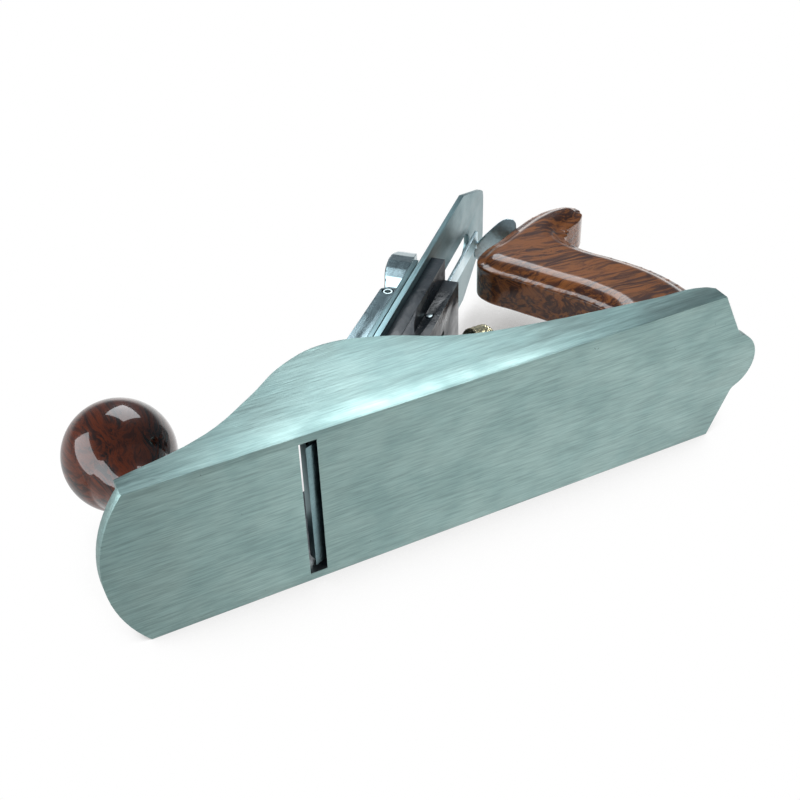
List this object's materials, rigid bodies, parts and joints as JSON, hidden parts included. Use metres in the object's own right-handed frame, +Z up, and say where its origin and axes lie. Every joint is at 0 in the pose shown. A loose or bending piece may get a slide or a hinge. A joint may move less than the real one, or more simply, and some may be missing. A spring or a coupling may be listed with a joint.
{
  "type": "hand plane",
  "caption": "Metal bench smoothing plane with a wooden tote and knob, lever cap, adjustable iron and frog.",
  "frame": {"origin": "middle of the sole's bounding box, on the sole", "axes": "+X along the sole to the toe, +Y to the plane's left side, +Z up off the sole"},
  "size_m": [0.2488, 0.062, 0.1429],
  "materials": {
    "ground_iron": "ground",
    "japanned_iron": "gloss black japan over a rough casting",
    "bright_steel": "brushed",
    "iron_steel": "fine ground",
    "plated_steel": "polished plate",
    "brass": "polished",
    "knob_wood": "dark red-brown gloss lacquer",
    "tote_wood": "lacquered rosewood grain"
  },
  "bodies": {
    "base": {"body_casting": "ground_iron", "frog_screw_left": "bright_steel", "frog_screw_right": "bright_steel", "frog_washer_left": "bright_steel", "frog_washer_right": "bright_steel", "knob": "knob_wood", "knob_bolt": "bright_steel", "knob_nut": "brass", "tote": "tote_wood", "tote_rod": "bright_steel", "tote_nut": "brass"},
    "frog": {"frog": "japanned_iron", "frog_clip": "bright_steel", "frog_clip_screw": "bright_steel", "yoke_pin": "bright_steel", "lateral_lever_rivet": "bright_steel", "lever_cap_screw": "bright_steel"},
    "frog_adjuster": {"frog_adjust_screw": "bright_steel"},
    "iron_carrier": {"chipbreaker_screw": "bright_steel"},
    "iron_set": {"iron": "iron_steel", "chipbreaker": "iron_steel"},
    "lateral_lever": {"lateral_lever": "plated_steel", "roller_rivet": "bright_steel"},
    "lateral_roller": {"lateral_roller": "bright_steel"},
    "yoke": {"yoke": "bright_steel"},
    "depth_stud": {"depth_stud": "bright_steel"},
    "depth_wheel": {"depth_wheel": "brass"},
    "lever_cap": {"lever_cap": "plated_steel", "lever_cap_spring": "bright_steel", "lever_cap_spring_rivet": "bright_steel", "cam_pin": "bright_steel"},
    "cam_lever": {"cam_lever": "plated_steel"}
  },
  "joints": [
    {"name": "frog_slide", "type": "slide", "parent": "base", "child": "frog", "axis": [1, 0, 0], "range_m": [-0.0008, 0.0008]},
    {"name": "frog_adjuster_turn", "type": "hinge", "parent": "frog", "child": "frog_adjuster", "pos_m": [0.004, 0, 0.0095], "axis": [1, 0, 0], "range_deg": [-272.24, 272.24]},
    {"name": "iron_depth", "type": "slide", "parent": "frog", "child": "iron_carrier", "axis": [0.7071, 0, -0.7071], "range_m": [-0.0009, 0.0012]},
    {"name": "iron_tilt", "type": "hinge", "parent": "iron_carrier", "child": "iron_set", "pos_m": [-0.00619, 0, 0.05869], "axis": [0.7071, 0, 0.7071], "range_deg": [-1.5, 1.5]},
    {"name": "lateral_lever_swing", "type": "hinge", "parent": "frog", "child": "lateral_lever", "pos_m": [-0.03023, 0, 0.08273], "axis": [0.7071, 0, 0.7071], "range_deg": [-3.61, 3.61]},
    {"name": "lateral_roller_spin", "type": "hinge", "parent": "lateral_lever", "child": "lateral_roller", "pos_m": [-0.02316, 0, 0.07566], "axis": [0.7071, 0, 0.7071], "continuous": true},
    {"name": "yoke_rock", "type": "hinge", "parent": "frog", "child": "yoke", "pos_m": [-0.02168, 0, 0.06413], "axis": [0, 1, 0], "range_deg": [-4.87, 6.5]},
    {"name": "depth_stud_turn", "type": "hinge", "parent": "frog", "child": "depth_stud", "pos_m": [-0.03, 0, 0.046], "axis": [1, 0, 0], "range_deg": [-523.98, 698.65]},
    {"name": "depth_wheel_travel", "type": "slide", "parent": "depth_stud", "child": "depth_wheel", "axis": [-1, 0, 0], "range_m": [-0.00154, 0.00206]},
    {"name": "lever_cap_slide", "type": "slide", "parent": "frog", "child": "lever_cap", "axis": [-0.7071, 0, 0.7071], "range_m": [0, 0.009]},
    {"name": "cam_lever_turn", "type": "hinge", "parent": "lever_cap", "child": "cam_lever", "pos_m": [-0.0105, 0, 0.07601], "axis": [0, 1, 0], "range_deg": [0, 100]}
  ],
  "couplings": [
    {"joint": "frog_adjuster_turn", "follows": "frog_slide", "rad_per_m": 5927.5},
    {"joint": "lateral_lever_swing", "follows": "iron_tilt", "ratio": -2.4},
    {"joint": "yoke_rock", "follows": "iron_depth", "rad_per_m": 94.34},
    {"joint": "depth_stud_turn", "follows": "iron_depth", "rad_per_m": 10141},
    {"joint": "depth_wheel_travel", "follows": "iron_depth", "ratio": 1.7108}
  ]
}
